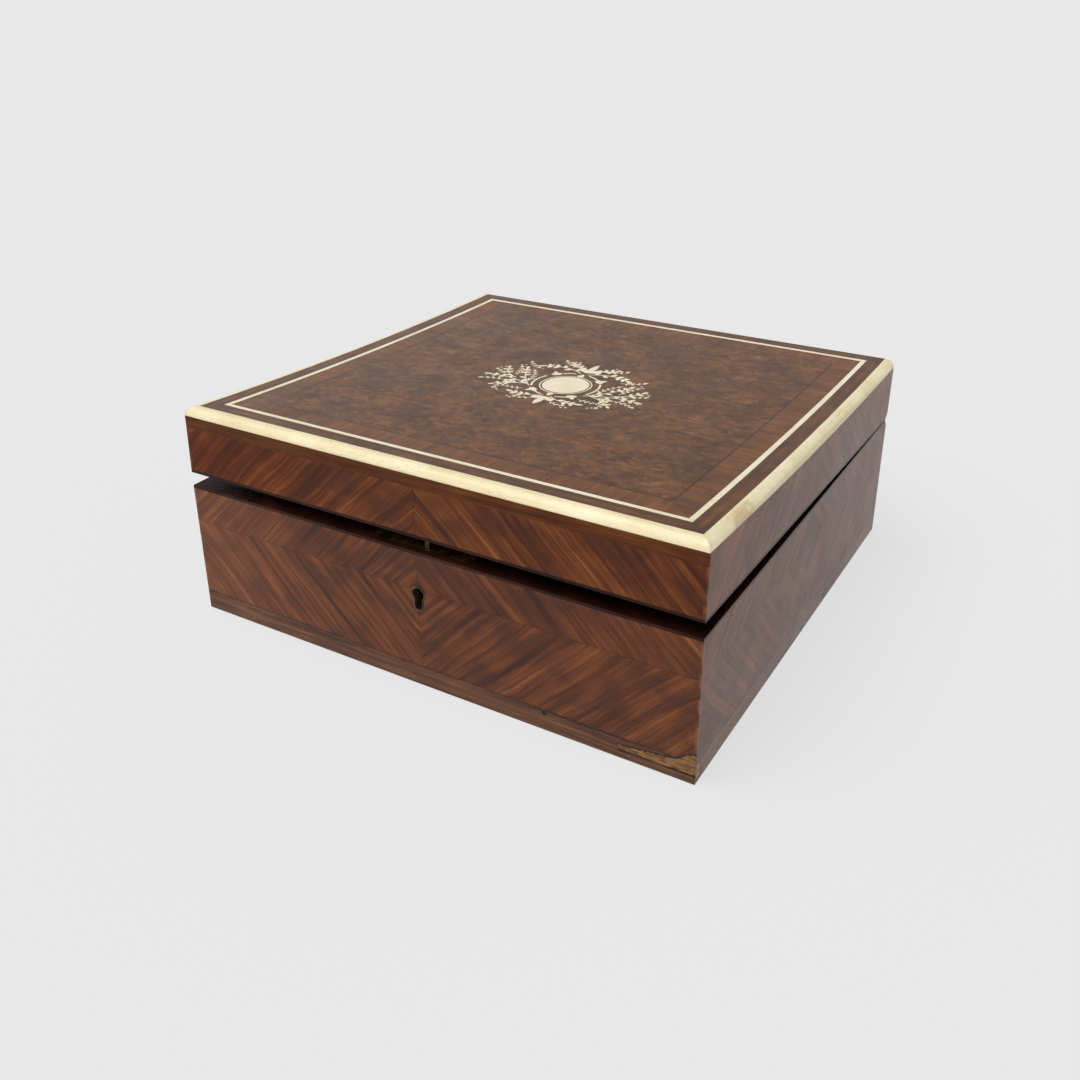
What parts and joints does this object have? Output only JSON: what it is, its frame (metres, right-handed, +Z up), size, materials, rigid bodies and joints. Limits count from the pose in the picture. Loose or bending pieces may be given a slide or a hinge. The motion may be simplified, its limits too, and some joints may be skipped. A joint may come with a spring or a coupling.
{
  "type": "veneered table box",
  "caption": "Square wooden box with a hinged, hollow-topped lid, matched veneers, bone edging and stringing, foliate inlay and a box lock.",
  "frame": {"origin": "middle of the underside of the base, on the surface that the box stands on", "axes": "+X to the right of someone facing the keyhole, +Y from the front to the hinges, +Z up"},
  "size_m": [0.28, 0.267, 0.1146],
  "materials": {
    "carcass_wood": "plain softwood carcass, oiled",
    "matched_veneer": "striped veneer in four-way matched strips, french polish",
    "straight_banding": "straight-grained veneer, french polish",
    "rim_facing": "dark hardwood facing, polished",
    "burr_veneer": "mottled burr veneer, french polish",
    "dark_line": "stained line, polished",
    "cross_banding": "cross-grained banding, french polish",
    "outer_banding": "plain dark banding, french polish",
    "bone": "polished bone, slightly yellowed",
    "lock_brass": "worn sheet brass",
    "lock_steel": "dull steel",
    "hinge_brass": "worn cast brass",
    "hinge_steel": "dull steel",
    "silk": "padded silk"
  },
  "bodies": {
    "base": {"base_front_wall": "carcass_wood", "base_back_wall": "carcass_wood", "base_left_wall": "carcass_wood", "base_right_wall": "carcass_wood", "base_bottom_board": "carcass_wood", "base_front_veneer": "matched_veneer", "base_back_veneer": "matched_veneer", "base_left_veneer": "matched_veneer", "base_right_veneer": "matched_veneer", "base_foot_banding": "straight_banding", "base_rim_facing": "rim_facing", "escutcheon": "lock_brass", "lock_plate": "lock_brass", "lock_cap": "lock_brass", "lock_pillars": "lock_brass", "lock_drill_pin": "lock_steel", "lock_spring": "lock_steel", "lock_screws": "lock_brass", "left_hinge_base_leaf": "hinge_brass", "right_hinge_base_leaf": "hinge_brass", "left_hinge_pin": "hinge_steel", "right_hinge_pin": "hinge_steel", "hinge_base_screws": "hinge_brass", "base_floor_pad": "silk"},
    "lid": {"left_hinge_lid_leaf": "hinge_brass", "right_hinge_lid_leaf": "hinge_brass", "hinge_lid_screws": "hinge_brass", "lid_front_rail": "carcass_wood", "lid_back_rail": "carcass_wood", "lid_left_rail": "carcass_wood", "lid_right_rail": "carcass_wood", "lid_top_board": "carcass_wood", "lid_front_veneer": "matched_veneer", "lid_back_veneer": "matched_veneer", "lid_left_veneer": "matched_veneer", "lid_right_veneer": "matched_veneer", "lid_front_banding": "straight_banding", "lid_rim_facing": "rim_facing", "top_burr_field": "burr_veneer", "top_dark_line": "dark_line", "top_crossbanding": "cross_banding", "top_stringing": "bone", "top_outer_banding": "outer_banding", "front_bone_edging": "bone", "left_bone_edging": "bone", "right_bone_edging": "bone", "inlay_cartouche": "bone", "inlay_rings": "bone", "inlay_foliage": "bone", "lock_link_plate": "lock_brass", "link_plate_screws": "lock_brass", "lid_pad": "silk"},
    "bolt": {"lock_bolt": "lock_brass"}
  },
  "joints": [
    {"name": "lid_hinge", "type": "hinge", "parent": "base", "child": "lid", "pos_m": [0, 0.1296, 0.07265], "axis": [-1, 0, 0], "range_deg": [-1.5, 93]},
    {"name": "bolt_throw", "type": "slide", "parent": "base", "child": "bolt", "axis": [1, 0, 0], "range_m": [0, 0.0047]}
  ]
}
